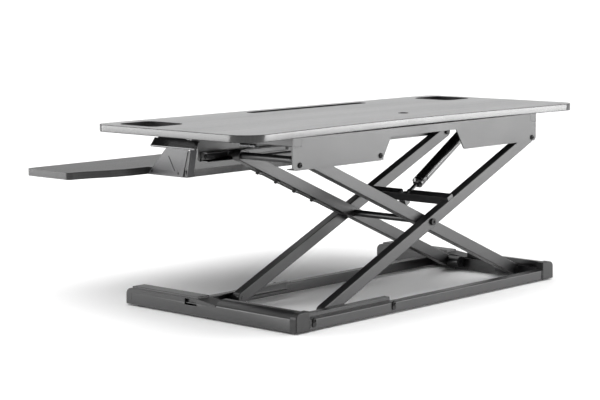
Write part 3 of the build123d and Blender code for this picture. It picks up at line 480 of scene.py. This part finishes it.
class STAGE_OT_studio(bpy.types.Operator):
    """Lay the floor, hang the soft lights and set the camera"""

    bl_idname = "converter.studio"
    bl_label = "Studio"

    def execute(self, context):
        self.floor()
        self.sky()
        self.lights()
        self.camera()
        return {"FINISHED"}

    def floor(self):
        bm = bmesh.new()
        bmesh.ops.create_grid(bm, x_segments=1, y_segments=1, size=30.0)
        floor = to_object(bm, "floor")
        floor.data.materials.append(floor_paint())

    def sky(self):
        """White walls, a dark ceiling and a dark room round the camera."""
        world = bpy.data.worlds.new("studio")
        bpy.context.scene.world = world
        world.use_nodes = True
        sky = Nodes(world.node_tree)
        split = sky.node("ShaderNodeSeparateXYZ", None, sky.node("ShaderNodeTexCoord", None))
        east, north, height = (Value(sky, socket) for socket in split.socket.node.outputs)
        towards_camera = 0.73 * east + 0.68 * north
        room = sky.span(towards_camera, 0.35, 0.65, 1.0, 0.03)
        wall = sky.span(height, 0.12, 0.42, 1.0, 0.03)
        background = sky.tree.nodes["Background"]
        sky.put(background.inputs["Color"], wall * room)
        background.inputs["Strength"].default_value = 1.15
        bpy.context.scene.view_settings.view_transform = "Standard"

    def lights(self):
        """A very soft ceiling, and two soft boxes: (name, place, aimed at, width, height, watts)."""
        sun = bpy.data.lights.new("ceiling", "SUN")
        sun.energy = 4.1
        sun.angle = math.radians(100.0)
        ceiling = bpy.data.objects.new("ceiling", sun)
        ceiling.location = (0, 0, 3)
        bpy.context.scene.collection.objects.link(ceiling)
        boxes = (
            ("rear_left", (-2.6, 3.1, 0.55), (0, 0.1, 0.3), 2.2, 1.1, 110.0),
            ("front_right", (2.7, -2.7, 0.55), (0, 0.1, 0.3), 2.4, 1.1, 85.0),
        )
        for name, place, target, width, height, watts in boxes:
            light = bpy.data.lights.new(name, "AREA")
            light.shape = "RECTANGLE"
            light.size, light.size_y = width, height
            light.energy = watts
            lamp = bpy.data.objects.new(name, light)
            lamp.location = place
            lamp.rotation_mode = "QUATERNION"
            lamp.rotation_quaternion = (Vector(target) - Vector(place)).to_track_quat("-Z", "Y")
            bpy.context.scene.collection.objects.link(lamp)

    def camera(self):
        """A long lens from the back right corner, a little above the desktop."""
        yaw, pitch, roll = math.radians(43.187), math.radians(7.248), math.radians(-0.396)
        level = math.cos(pitch)
        aim = Vector((-math.cos(yaw) * level, -math.sin(yaw) * level, -math.sin(pitch)))
        data = bpy.data.cameras.new("camera")
        data.sensor_width = 36.0
        data.lens = 107.4
        data.clip_end = 100.0
        camera = bpy.data.objects.new("camera", data)
        camera.location = (2.76499, 2.58414, 0.66448)
        camera.rotation_mode = "QUATERNION"
        camera.rotation_quaternion = Quaternion(aim, -roll) @ aim.to_track_quat("-Z", "Y")
        bpy.context.scene.collection.objects.link(camera)
        bpy.context.scene.camera = camera


class FINISH_OT_boards(bpy.types.Operator):
    """Laminate the desktop and the keyboard tray and band their edges"""

    bl_idname = "converter.boards"
    bl_label = "Boards"

    def execute(self, context):
        node_materials(("desktop",), laminate("desktop_laminate", 1.45, 0.2))
        # The tray gets the desktop's laminate at a much darker tone: painted shade, standing in for the shade on
        # the tray below the desktop.
        node_materials(("keyboard_tray",), laminate("tray_laminate_painted_shade", 0.3, 0.34))
        node_materials(("desktop_edge_band",), edge_band())
        liner = moulded("liner_plastic", colours().plastic, 0.4, sheen=0.12)
        node_materials(("tablet_slot_liner", "hand_hole_liners"), liner)
        soften(("desktop_edge_band", "keyboard_tray"), sizes().board_round, 3)
        soften(("hand_hole_liners",), sizes().plastic_round * 0.6, 2)
        return {"FINISHED"}


class FINISH_OT_frame(bpy.types.Operator):
    """Powder coat the steel arms, panels, rails, feet and brackets"""

    bl_idname = "converter.frame"
    bl_label = "Steel frame"

    def execute(self, context):
        coated = [
            row["node"] for row in frame["record"]["subparts"] if row["material_slot"] == "frame_black"
        ]
        node_materials(coated, powder_coat("powder_coat"))
        # The brackets get the frame's powder coat made five times lighter: painted light, standing in for the
        # light that falls on them.
        node_materials(("tray_bracket_left", "tray_bracket_right"), powder_coat("bracket_coat_painted_light", 5.0))
        # A rounded edge shows dark lines along the long tubes, and the covers are rounded already.
        plain = [name for name in coated if "arm_" not in name and name != "foot_covers"]
        soften(plain, sizes().steel_round)
        return {"FINISHED"}


class FINISH_OT_small_parts(bpy.types.Operator):
    """Finish the bolts, pins, plastic, rubber, gas spring and cables"""

    bl_idname = "converter.small_parts"
    bl_label = "Small parts"
    boards = ("hand_hole_liners", "tablet_slot_liner", "desktop_edge_band")

    def execute(self, context):
        plastic = moulded("dark_plastic", colours().plastic, 0.42)
        finishes = {
            "dark_liner": plastic,
            "cap_grey": moulded("cap_plastic", colours().plastic, 0.36, sheen=0.3),
            "gloss_black": gloss_lacquer(),
            "bolt_black": black_oxide(),
            "lever_black": gloss_lacquer(),
            "bright_steel": bright_steel("bright_steel", 1.0),
            "roller_nylon": moulded("nylon", shade(colours().plastic, 1.6), 0.35, 2500.0),
            "cable_black": moulded("sheath", colours().plastic, 0.38, 2500.0),
            "rubber": rubber(),
        }
        for row in frame["record"]["subparts"]:
            if row["material_slot"] in finishes and row["node"] not in self.boards:
                node_materials((row["node"],), finishes[row["material_slot"]])
        node_materials(("gas_spring_rod",), bright_steel("nitrided_steel", 0.12))
        soften(("foot_end_caps",), sizes().plastic_round * 1.5, 3)
        soften(("release_lever_left", "release_lever_right"), sizes().plastic_round * 0.7, 2)
        soften(("release_head", "cable_clips"), sizes().plastic_round * 0.5, 2)
        return {"FINISHED"}


class MODEL_OT_gas_spring(bpy.types.Operator):
    """Turn the gas spring's cylinder and gland with their rolled shoulders and crimps"""

    bl_idname = "converter.gas_spring"
    bl_label = "Gas spring"

    def execute(self, context):
        pin = Vector(joint("gas_tilt")["pos_m"])
        axis = Vector(joint("gas_stroke")["axis"])
        (low, high), (_, radius) = reach("gas_spring_cylinder", pin, axis)
        (_, gland_end), (rod, gland_radius) = reach("gas_spring_gland", pin, axis)
        roll = 4.0 * MM
        groove = 0.7 * MM
        lip = gland_end - high
        profile = [(0.0, low), *arc(radius - roll, low + roll, roll, -90.0, 0.0)]
        profile += [(radius, high - 16 * MM)]
        profile += arc(radius + groove, high - 13.5 * MM, 1.9 * MM, 205.0, 155.0, 4)
        profile += [(radius, high - 11 * MM), (radius, high - 1.2 * MM)]
        profile += arc(radius - 1.2 * MM, high - 1.2 * MM, 1.2 * MM, 0.0, 90.0, 3)
        profile += [(gland_radius - 0.6 * MM, high + 0.3 * MM), (gland_radius, high + 0.9 * MM)]
        profile += [(gland_radius, gland_end - lip * 0.45), (gland_radius * 0.62, gland_end - 0.5 * MM)]
        profile += [(gland_radius * 0.55, gland_end), (rod + 0.25 * MM, gland_end)]
        profile += [(rod + 0.25 * MM, gland_end - 4 * MM), (0.0, gland_end - 4 * MM)]
        bm = bmesh.new()
        lathe(bm, profile, pin, axis, 48)
        body = to_object(bm, "gas_spring_body", 28.0)
        finish_piece(
            body, "gas_cylinder", "gloss_black", gloss_lacquer(), "gas_spring_cylinder", "gas_spring_gland"
        )
        return {"FINISHED"}


class MODEL_OT_springs(bpy.types.Operator):
    """Wind the release levers' springs from wire"""

    bl_idname = "converter.springs"
    bl_label = "Lever springs"

    def execute(self, context):
        wire = sizes().spring_wire
        bm = bmesh.new()
        past_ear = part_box("lever_housings")[1].y + 1.4 * MM
        for name in ("right_lever_pull", "left_lever_pull"):
            hinge = Vector(joint(name)["pos_m"])
            start = Vector((hinge.x, past_ear, hinge.z))
            coil(bm, start, (0, 1, 0), 3.8 * MM, wire, 1.25 * MM, 3.2)
        low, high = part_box("top_crossbar_right")
        middle = (low + high) / 2
        start = Vector((middle.x, middle.y - 21 * MM, low.z - 4.6 * MM))
        coil(bm, start, (0, 1, 0), 3.1 * MM, wire, 1.05 * MM, 40)
        for turn in (-1, 1):
            hook = Vector((start.x, middle.y + turn * 23.4 * MM, start.z))
            coil(bm, hook + Vector((-0.5 * wire, 0, 0)), (1, 0, 0), 2.6 * MM, wire, 0.3 * MM, 1.0)
        piece = to_object(bm, "lever_spring_coils", 80.0)
        finish_piece(piece, "top_frame", "bright_steel", bright_steel("spring_steel", 0.35), "lever_springs")
        return {"FINISHED"}


class MODEL_OT_rollers(bpy.types.Operator):
    """Turn the four nylon rollers with a crowned tread and a raised hub"""

    bl_idname = "converter.rollers"
    bl_label = "Rollers"

    def execute(self, context):
        nylon = moulded("roller_nylon", shade(colours().plastic, 1.6), 0.35, 2500.0)
        for tier in ("upper", "lower"):
            for side in ("rear", "front"):
                self.roller(f"{tier}_roller_{side}", f"{tier}_wheel_{side}", nylon)
        return {"FINISHED"}

    def roller(self, node, body, nylon):
        low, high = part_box(node)
        centre = (low + high) / 2
        (_, half), (bore, radius) = reach(node, centre, (0, 1, 0))
        edge = 1.0 * MM
        dish = 1.1 * MM
        hub = bore + 1.6 * MM
        side = [(bore, half), (hub, half), (hub + 0.4 * MM, half - dish), (radius - 2.4 * MM, half - dish)]
        side += [(radius - 1.9 * MM, half), *arc(radius - edge, half - edge, edge, 90.0, 0.0, 4)]
        profile = side + [(across, -along) for across, along in reversed(side)]
        bm = bmesh.new()
        lathe(bm, profile + profile[:1], centre, (0, 1, 0), 40)
        finish_piece(to_object(bm, f"{node}_turned", 25.0), body, "roller_nylon", nylon, node)


class MODEL_OT_hole_lips(bpy.types.Operator):
    """Press a thin black lip round each hand hole, the tablet slot and the monitor arm's hole"""

    bl_idname = "converter.hole_lips"
    bl_label = "Hole lips"

    def execute(self, context):
        lip_width, lip_height, rise = 2.6 * MM, 0.7 * MM, 0.02 * MM
        hole_corner, slot_corner = 18 * MM, 6 * MM
        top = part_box("desktop")[1].z
        low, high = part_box("hand_hole_liners")
        inner = min(abs(vertex.co.x) for vertex in frame["nodes"]["hand_hole_liners"].data.vertices)
        width = high.x - inner
        slot_low, slot_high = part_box("tablet_slot_liner")
        plates = [
            (side * (high.x - width / 2), (low.y + high.y) / 2, width, high.y - low.y, hole_corner)
            for side in (-1, 1)
        ]
        plates.append((
            (slot_low.x + slot_high.x) / 2, (slot_low.y + slot_high.y) / 2,
            slot_high.x - slot_low.x, slot_high.y - slot_low.y, slot_corner,
        ))
        bore = next(m for m in frame["record"]["mounts"] if m["name"] == "monitor_arm_hole")
        grommet = 2 * (bore["dims"]["r_mm"] * MM + lip_width)
        almost_round = 0.499 * grommet
        plates.append((*bore["pos_m"][:2], grommet, grommet, almost_round))
        whole = bmesh.new()
        for x, y, width, depth, radius in plates:
            bm = bmesh.new()
            faces = rounded_plate(bm, (x, y, top + rise), width, depth, radius)
            bmesh.ops.inset_region(
                bm, faces=faces, thickness=lip_width, use_boundary=True, use_even_offset=True
            )
            bmesh.ops.delete(bm, geom=faces, context="FACES_ONLY")
            bmesh.ops.solidify(bm, geom=list(bm.faces), thickness=-lip_height)
            bmesh.ops.recalc_face_normals(bm, faces=bm.faces)
            mesh = bpy.data.meshes.new("lip")
            bm.to_mesh(mesh)
            bm.free()
            whole.from_mesh(mesh)
            bpy.data.meshes.remove(mesh)
        piece = to_object(whole, "hole_lips")
        bevel = piece.modifiers.new("bevel", "BEVEL")
        bevel.width = 0.25 * MM
        bevel.segments = 2
        plastic = moulded("lip_plastic", colours().plastic, 0.5, sheen=0.08)
        finish_piece(piece, "top_frame", "dark_liner", plastic)
        return {"FINISHED"}


class MODEL_OT_bolts(bpy.types.Operator):
    """Turn the button-head bolts with their sockets, and cut the pivots' nuts"""

    bl_idname = "converter.bolts"
    bl_label = "Bolts"

    def execute(self, context):
        lift, pivot = Vector(joint("lift")["pos_m"]), Vector(joint("top_pivot")["pos_m"])
        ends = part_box("top_slide_channels")
        inset = 12 * MM
        nut_radius, nut_height, nut_middle = 6.6 * MM, 4 * MM, 2.2 * MM
        across = Matrix.Rotation(math.pi / 2, 4, "X")
        along_channel = (ends[0].x + inset, ends[1].x - inset)
        rails = (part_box("base_rail_front")[0].y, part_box("base_rail_rear")[1].y)
        panels = (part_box("front_top_panel")[0].y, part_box("rear_top_panel")[1].y)
        metal = black_oxide()
        bm = bmesh.new()
        for x in (pivot.x, *along_channel):
            for face, side in zip(panels, (-1, 1)):
                self.bolt(bm, "top_panel_bolts", x, face, side, pivot.z)
        for side in (-1, 1):
            tip = self.tip("top_panel_bolts", pivot.x, lift.y, side)
            place = Matrix.Translation((pivot.x, tip + side * nut_middle, pivot.z))
            bmesh.ops.create_cone(
                bm, cap_ends=True, segments=6, radius1=nut_radius, radius2=nut_radius,
                depth=nut_height, matrix=place @ across
            )
        piece = to_object(bm, "panel_bolts_turned", 28.0)
        finish_piece(piece, "top_frame", "bolt_black", metal, "top_panel_bolts")
        bm = bmesh.new()
        for x in along_channel:
            for face, side in zip(rails, (-1, 1)):
                self.bolt(bm, None, x, face, side, lift.z)
        finish_piece(to_object(bm, "rail_bolts_turned", 28.0), "base", "bolt_black", metal)
        return {"FINISHED"}

    def tip(self, node, x, middle, side):
        """Where a bolt at x ends, on the side of the lift that it is on."""
        shank = [
            vertex.co.y for vertex in frame["nodes"][node].data.vertices
            if abs(vertex.co.x - x) < 8 * MM and (vertex.co.y - middle) * side > 0
        ]
        return min(shank, key=lambda y: y * side)

    def bolt(self, bm, node, x, face, side, z):
        """A button head that stands on a face, with its shank behind it where a node gives its length."""
        radius, height, point = 5.4 * MM, 3.1 * MM, 0.6 * MM
        thread_radius, chamfer, chamfer_radius = 4.0 * MM, 0.8 * MM, 3.4 * MM
        socket, depth = sizes().socket_radius, sizes().socket_depth
        middle = joint("lift")["pos_m"][1]
        shank = abs(face - self.tip(node, x, middle, side)) if node else 0.0
        dome = [
            (socket + (radius - socket) * math.cos(turn), height * (0.25 + 0.75 * math.sin(turn)))
            for turn in (math.radians(step) for step in range(0, 91, 15))
        ]
        dome[-1] = (socket, height)
        profile = [(0.0, height - depth - point), (socket, height - depth)]
        profile += [*reversed(dome), (radius, 0.0)]
        if shank:
            profile += [(thread_radius, 0.0), (thread_radius, chamfer - shank)]
            profile += [(chamfer_radius, -shank), (0.0, -shank)]
        else:
            profile += [(0.0, 0.0)]
        lathe(bm, profile, (x, face, z), (0, side, 0), 24)


class MODEL_OT_welds(bpy.types.Operator):
    """Lay weld beads where the rails meet the feet"""

    bl_idname = "converter.welds"
    bl_label = "Weld beads"

    def execute(self, context):
        size, from_end, from_corner = 3.0 * MM, 1 * MM, 2 * MM
        bm = bmesh.new()
        for node in ("base_rail_front", "base_rail_rear"):
            low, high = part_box(node)
            for x in (low.x + from_end, high.x - from_end):
                bead(bm, (x, low.y + from_corner, high.z), (x, high.y - from_corner, high.z), size)
                for y in (low.y, high.y):
                    bead(bm, (x, y, low.z + from_corner), (x, y, high.z - from_corner), size)
        piece = to_object(bm, "weld_beads", 80.0)
        finish_piece(piece, "base", "frame_black", powder_coat("weld_coat"))
        return {"FINISHED"}


class SIDEBAR_PT_converter(bpy.types.Panel):
    """Lists the converter's sizes, colours and pieces"""

    bl_label = "Desk Converter"
    bl_space_type = "VIEW_3D"
    bl_region_type = "UI"
    bl_category = "Desk Converter"

    def draw(self, context):
        for group in (context.scene.converter_sizes, context.scene.converter_colours):
            box = self.layout.box()
            for name in group.__annotations__:
                box.prop(group, name)
        for operator in OPERATORS:
            self.layout.operator(operator.bl_idname)


OPERATORS = (
    STAGE_OT_studio,
    FINISH_OT_boards,
    FINISH_OT_frame,
    FINISH_OT_small_parts,
    MODEL_OT_gas_spring,
    MODEL_OT_springs,
    MODEL_OT_rollers,
    MODEL_OT_hole_lips,
    MODEL_OT_bolts,
    MODEL_OT_welds,
)
CLASSES = (ConverterSizes, ConverterColours, *OPERATORS, SIDEBAR_PT_converter)


def register():
    for cls in CLASSES:
        bpy.utils.register_class(cls)
    bpy.types.Scene.converter_sizes = PointerProperty(type=ConverterSizes)
    bpy.types.Scene.converter_colours = PointerProperty(type=ConverterColours)


def unregister():
    del bpy.types.Scene.converter_colours
    del bpy.types.Scene.converter_sizes
    for cls in reversed(CLASSES):
        bpy.utils.unregister_class(cls)


def main():
    """Makes everything."""
    register()
    for operator in OPERATORS:
        family, name = operator.bl_idname.split(".")
        getattr(getattr(bpy.ops, family), name)()


if __name__ == "__main__":
    main()
